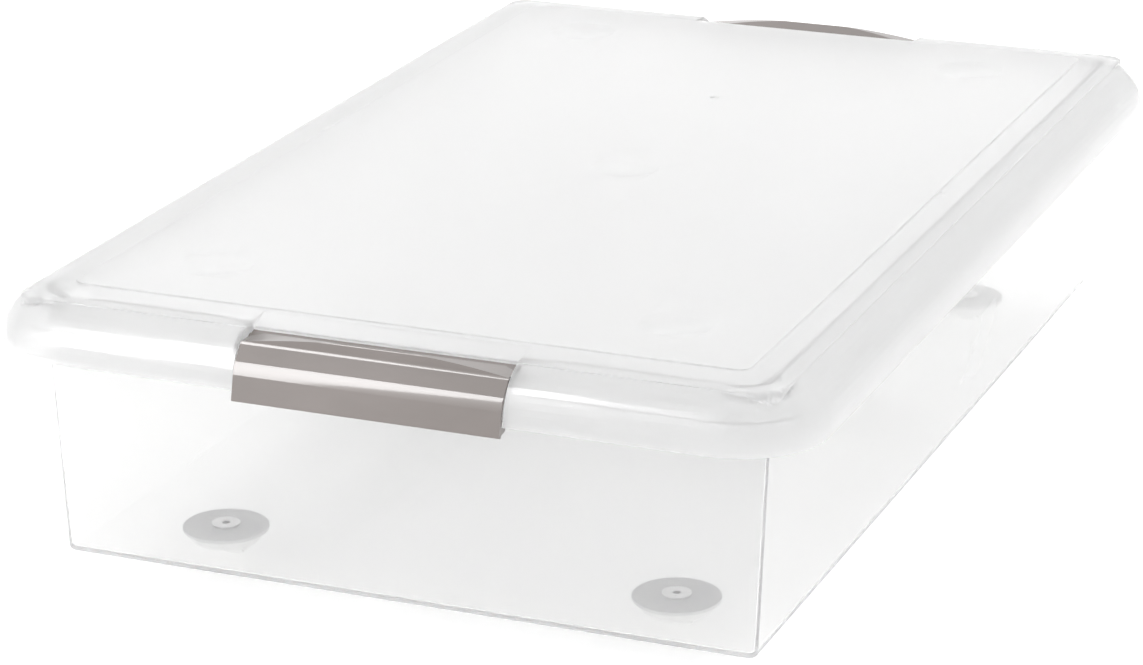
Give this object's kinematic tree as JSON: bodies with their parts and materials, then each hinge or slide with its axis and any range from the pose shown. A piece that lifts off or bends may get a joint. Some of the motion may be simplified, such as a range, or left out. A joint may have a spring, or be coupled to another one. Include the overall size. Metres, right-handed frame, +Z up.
{
  "type": "under bed box",
  "caption": "Low clear storage box on swivel casters with a lift-off lid held by two end latches, for sliding under a bed.",
  "frame": {"origin": "on the ground under the middle of the closed box", "axes": "+Z up, +Y along the box's length away from the end the picture shows, +X to the right seen from that end"},
  "size_m": [0.466, 0.73, 0.174],
  "materials": {
    "clear_tub": "milky translucent polypropylene, smooth moulded",
    "clear_lid": "milky translucent polypropylene, smooth moulded",
    "taupe_latch": "polished opaque taupe plastic",
    "zinc_plate": "dull zinc-plated sheet",
    "steel_pin": "bright drawn wire, riveted ends",
    "white_nylon": "natural nylon",
    "white_housing": "moulded, fine texture",
    "white_wheel": "hard nylon tread"
  },
  "bodies": {
    "tub": {"tub": "clear_tub", "caster_plate_front_left": "zinc_plate", "caster_pin_front_left": "steel_pin", "caster_bush_front_left": "white_nylon", "caster_plate_front_right": "zinc_plate", "caster_pin_front_right": "steel_pin", "caster_bush_front_right": "white_nylon", "caster_plate_rear_left": "zinc_plate", "caster_pin_rear_left": "steel_pin", "caster_bush_rear_left": "white_nylon", "caster_plate_rear_right": "zinc_plate", "caster_pin_rear_right": "steel_pin", "caster_bush_rear_right": "white_nylon"},
    "lid": {"lid": "clear_lid"},
    "latch_front": {"latch_front": "taupe_latch"},
    "latch_rear": {"latch_rear": "taupe_latch"},
    "yoke_front_left": {"caster_yoke_front_left": "white_housing", "caster_axle_front_left": "steel_pin"},
    "wheel_front_left": {"caster_wheel_front_left": "white_wheel"},
    "yoke_front_right": {"caster_yoke_front_right": "white_housing", "caster_axle_front_right": "steel_pin"},
    "wheel_front_right": {"caster_wheel_front_right": "white_wheel"},
    "yoke_rear_left": {"caster_yoke_rear_left": "white_housing", "caster_axle_rear_left": "steel_pin"},
    "wheel_rear_left": {"caster_wheel_rear_left": "white_wheel"},
    "yoke_rear_right": {"caster_yoke_rear_right": "white_housing", "caster_axle_rear_right": "steel_pin"},
    "wheel_rear_right": {"caster_wheel_rear_right": "white_wheel"}
  },
  "joints": [
    {"name": "lid_lift", "type": "slide", "parent": "tub", "child": "lid", "axis": [0, 0, 1], "range_m": [0, 0.2]},
    {"name": "latch_front_hinge", "type": "hinge", "parent": "lid", "child": "latch_front", "pos_m": [0, -0.3395, 0.1639], "axis": [-1, 0, 0], "range_deg": [0, 85]},
    {"name": "latch_rear_hinge", "type": "hinge", "parent": "lid", "child": "latch_rear", "pos_m": [0, 0.3395, 0.1639], "axis": [1, 0, 0], "range_deg": [0, 85]},
    {"name": "swivel_front_left", "type": "hinge", "parent": "tub", "child": "yoke_front_left", "pos_m": [-0.134, -0.265, 0.0157], "axis": [0, 0, 1], "continuous": true},
    {"name": "roll_front_left", "type": "hinge", "parent": "yoke_front_left", "child": "wheel_front_left", "pos_m": [-0.134, -0.255, 0.0075], "axis": [1, 0, 0], "continuous": true},
    {"name": "swivel_front_right", "type": "hinge", "parent": "tub", "child": "yoke_front_right", "pos_m": [0.134, -0.265, 0.0157], "axis": [0, 0, 1], "continuous": true},
    {"name": "roll_front_right", "type": "hinge", "parent": "yoke_front_right", "child": "wheel_front_right", "pos_m": [0.134, -0.255, 0.0075], "axis": [1, 0, 0], "continuous": true},
    {"name": "swivel_rear_left", "type": "hinge", "parent": "tub", "child": "yoke_rear_left", "pos_m": [-0.134, 0.265, 0.0157], "axis": [0, 0, 1], "continuous": true},
    {"name": "roll_rear_left", "type": "hinge", "parent": "yoke_rear_left", "child": "wheel_rear_left", "pos_m": [-0.134, 0.275, 0.0075], "axis": [1, 0, 0], "continuous": true},
    {"name": "swivel_rear_right", "type": "hinge", "parent": "tub", "child": "yoke_rear_right", "pos_m": [0.134, 0.265, 0.0157], "axis": [0, 0, 1], "continuous": true},
    {"name": "roll_rear_right", "type": "hinge", "parent": "yoke_rear_right", "child": "wheel_rear_right", "pos_m": [0.134, 0.275, 0.0075], "axis": [1, 0, 0], "continuous": true}
  ]
}
